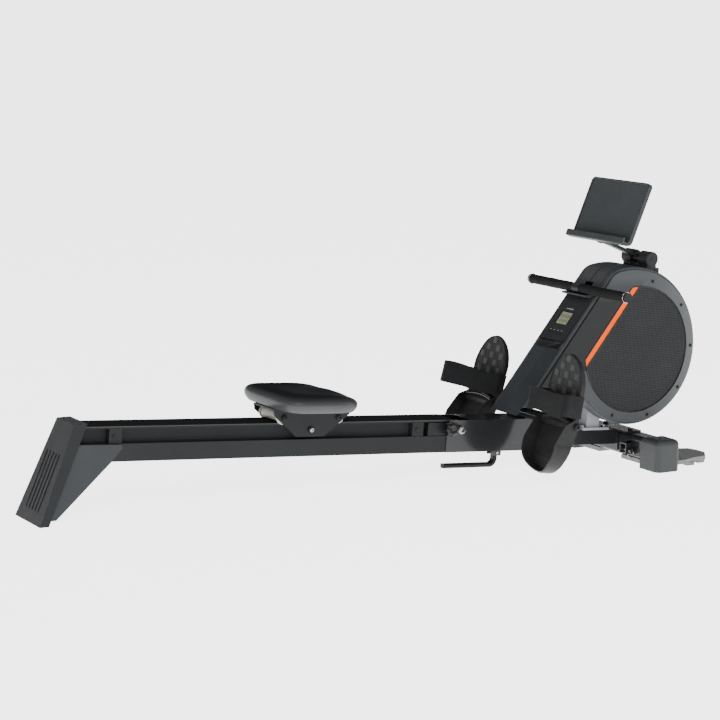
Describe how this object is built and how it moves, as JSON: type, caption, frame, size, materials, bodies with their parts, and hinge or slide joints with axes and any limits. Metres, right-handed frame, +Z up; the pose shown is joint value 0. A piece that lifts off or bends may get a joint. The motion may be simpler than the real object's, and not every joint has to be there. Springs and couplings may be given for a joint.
{
  "type": "rowing machine",
  "caption": "Folding magnetic rowing machine: rolling seat on a sloping rail, pivoting pedals with straps, pull handle, round drum housing, console and tablet holder.",
  "frame": {"origin": "on the floor, half way along the machine and on its middle plane", "axes": "+Z up, +X from the rear foot towards the flywheel housing, +Y to the rower's left"},
  "size_m": [2.197, 0.576, 0.8637],
  "materials": {
    "rail": "satin anodised dark grey",
    "stop_rubber": "matt",
    "black_steel": "satin black powder coat",
    "charcoal_plastic": "fine texture",
    "grey_steel": "satin grey powder coat",
    "seat_cover": "smooth moulded polyurethane skin, soft sheen",
    "zinc_steel": "zinc plated",
    "roller_nylon": "satin",
    "gloss_steel": "gloss black",
    "mast_steel": "satin light grey",
    "chrome_steel": "bright",
    "grey_plastic": "satin",
    "foot_plastic": "satin",
    "shield_plastic": "satin blue-grey",
    "mesh_plastic": "fine perforated pattern",
    "orange_plastic": "gloss orange",
    "lcd_lens": "polished",
    "plate_steel": "satin",
    "flywheel_iron": "machined rim",
    "grip_foam": "closed cell foam",
    "webbing": "woven nylon",
    "pedal_plastic": "fine texture",
    "black_plastic": "moulded",
    "button_rubber": "matt"
  },
  "bodies": {
    "frame": {"base_channel": "gloss_steel", "main_beam": "gloss_steel", "mast": "mast_steel", "axle_tube": "gloss_steel", "pedal_axle": "zinc_steel", "frame_bolts": "chrome_steel", "stabilizer_tube": "gloss_steel", "stabilizer_caps": "grey_plastic", "storage_feet": "foot_plastic", "left_shield": "shield_plastic", "right_shield": "shield_plastic", "left_side_cover": "shield_plastic", "right_side_cover": "shield_plastic", "side_discs": "mesh_plastic", "side_stripes": "orange_plastic", "cover_screws": "black_steel", "console_bezel": "charcoal_plastic", "console_lens": "lcd_lens", "throat_cover": "shield_plastic", "handle_rest": "charcoal_plastic", "drive_plates": "plate_steel", "drive_belt": "stop_rubber", "recoil_case": "plate_steel", "drive_strap": "webbing", "tablet_bracket": "charcoal_plastic"},
    "rail": {"rail_beam": "rail", "seat_stops": "stop_rubber", "hinge_lugs": "black_steel", "rear_foot": "charcoal_plastic", "rear_sole": "stop_rubber", "foot_gussets": "grey_steel"},
    "seat": {"seat_pad": "seat_cover", "seat_pan": "charcoal_plastic", "seat_carriage": "black_steel", "carriage_axles": "zinc_steel"},
    "rear_seat_roller": {"rear_seat_roller": "roller_nylon"},
    "front_seat_roller": {"front_seat_roller": "roller_nylon"},
    "lower_seat_rollers": {"lower_seat_rollers": "roller_nylon"},
    "handle": {"handle_bar": "black_steel", "handle_grips": "grip_foam"},
    "strap_roller": {"strap_roller": "roller_nylon"},
    "strap_spool": {"strap_spool": "charcoal_plastic"},
    "drive_pulley": {"drive_pulley": "charcoal_plastic", "spool_shaft": "zinc_steel"},
    "flywheel": {"flywheel": "flywheel_iron", "flywheel_shaft": "zinc_steel"},
    "brake_arm": {"brake_arm": "plate_steel"},
    "left_pedal": {"left_pedal": "pedal_plastic", "left_foot_strap": "webbing"},
    "right_pedal": {"right_pedal": "pedal_plastic", "right_foot_strap": "webbing"},
    "tablet_arm": {"tablet_arm": "black_steel"},
    "tablet_tray": {"tablet_tray": "charcoal_plastic"},
    "lock_knob": {"lock_knob": "black_plastic"},
    "release_lever": {"release_lever": "grey_steel"},
    "storage_pin": {"storage_pin": "chrome_steel"},
    "console_button_1": {"console_button_1": "button_rubber"},
    "console_button_2": {"console_button_2": "button_rubber"},
    "console_button_3": {"console_button_3": "button_rubber"},
    "console_button_4": {"console_button_4": "button_rubber"}
  },
  "joints": [
    {"name": "rail_fold", "type": "hinge", "parent": "frame", "child": "rail", "pos_m": [0.2425, 0, 0.147], "axis": [0, 1, 0], "range_deg": [0, 85]},
    {"name": "seat_slide", "type": "slide", "parent": "rail", "child": "seat", "axis": [-0.998, 0, 0.0638], "range_m": [-0.3355, 0.5655]},
    {"name": "rear_seat_roller_spin", "type": "hinge", "parent": "seat", "child": "rear_seat_roller", "pos_m": [-0.35331, 0, 0.23171], "axis": [0, 1, 0], "continuous": true},
    {"name": "front_seat_roller_spin", "type": "hinge", "parent": "seat", "child": "front_seat_roller", "pos_m": [-0.17767, 0, 0.22047], "axis": [0, 1, 0], "continuous": true},
    {"name": "lower_seat_rollers_spin", "type": "hinge", "parent": "seat", "child": "lower_seat_rollers", "pos_m": [-0.26774, 0, 0.19086], "axis": [0, 1, 0], "continuous": true},
    {"name": "handle_pull", "type": "slide", "parent": "frame", "child": "handle", "axis": [-1, 0, 0], "range_m": [0, 1.15], "stiffness_N_per_m": 12, "springref_m": -2.5, "deforming": ["drive_strap"]},
    {"name": "strap_roller_spin", "type": "hinge", "parent": "frame", "child": "strap_roller", "pos_m": [0.7575, 0, 0.524], "axis": [0, 1, 0], "continuous": true},
    {"name": "strap_spool_spin", "type": "hinge", "parent": "frame", "child": "strap_spool", "pos_m": [0.8515, 0, 0.47], "axis": [0, 1, 0], "continuous": true},
    {"name": "flywheel_spin", "type": "hinge", "parent": "frame", "child": "flywheel", "pos_m": [0.9115, 0, 0.31], "axis": [0, 1, 0], "continuous": true},
    {"name": "drive_pulley_spin", "type": "hinge", "parent": "frame", "child": "drive_pulley", "pos_m": [0.8515, 0, 0.47], "axis": [0, 1, 0], "continuous": true},
    {"name": "brake_arm_swing", "type": "hinge", "parent": "frame", "child": "brake_arm", "pos_m": [1.0395, 0, 0.332], "axis": [0, 1, 0], "range_deg": [0, 6]},
    {"name": "left_pedal_tilt", "type": "hinge", "parent": "frame", "child": "left_pedal", "pos_m": [0.4945, 0.205, 0.175], "axis": [0, 1, 0], "range_deg": [-15, 27]},
    {"name": "right_pedal_tilt", "type": "hinge", "parent": "frame", "child": "right_pedal", "pos_m": [0.4945, -0.205, 0.175], "axis": [0, 1, 0], "range_deg": [-9, 34]},
    {"name": "tablet_arm_tilt", "type": "hinge", "parent": "frame", "child": "tablet_arm", "pos_m": [0.9235, 0, 0.623], "axis": [0, 1, 0], "range_deg": [-8, 55]},
    {"name": "tablet_tray_tilt", "type": "hinge", "parent": "tablet_arm", "child": "tablet_tray", "pos_m": [0.7875, 0, 0.677], "axis": [0, 1, 0], "range_deg": [-20, 42]},
    {"name": "lock_knob_turn", "type": "hinge", "parent": "frame", "child": "lock_knob", "pos_m": [0.20201, -0.07, 0.1547], "axis": [0, 1, 0], "continuous": true},
    {"name": "release_lever_lift", "type": "hinge", "parent": "frame", "child": "release_lever", "pos_m": [0.40103, 0, 0.0562], "axis": [0, 1, 0], "range_deg": [0, 12]},
    {"name": "storage_pin_pull", "type": "slide", "parent": "frame", "child": "storage_pin", "axis": [0, -1, 0], "range_m": [0, 0.03]},
    {"name": "console_button_1_press", "type": "slide", "parent": "frame", "child": "console_button_1", "axis": [0.7815, 0, -0.6239], "range_m": [0, 0.0012], "stiffness_N_per_m": 300, "springref_m": -0.002},
    {"name": "console_button_2_press", "type": "slide", "parent": "frame", "child": "console_button_2", "axis": [0.7815, 0, -0.6239], "range_m": [0, 0.0012], "stiffness_N_per_m": 300, "springref_m": -0.002},
    {"name": "console_button_3_press", "type": "slide", "parent": "frame", "child": "console_button_3", "axis": [0.7815, 0, -0.6239], "range_m": [0, 0.0012], "stiffness_N_per_m": 300, "springref_m": -0.002},
    {"name": "console_button_4_press", "type": "slide", "parent": "frame", "child": "console_button_4", "axis": [0.7815, 0, -0.6239], "range_m": [0, 0.0012], "stiffness_N_per_m": 300, "springref_m": -0.002}
  ],
  "couplings": [
    {"joint": "rear_seat_roller_spin", "follows": "seat_slide", "rad_per_m": -59.88},
    {"joint": "front_seat_roller_spin", "follows": "seat_slide", "rad_per_m": -59.88},
    {"joint": "lower_seat_rollers_spin", "follows": "seat_slide", "rad_per_m": 83.333},
    {"joint": "strap_roller_spin", "follows": "handle_pull", "rad_per_m": -66.225},
    {"joint": "strap_spool_spin", "follows": "handle_pull", "rad_per_m": -26.954},
    {"joint": "drive_pulley_spin", "follows": "flywheel_spin", "ratio": 0.2601}
  ]
}
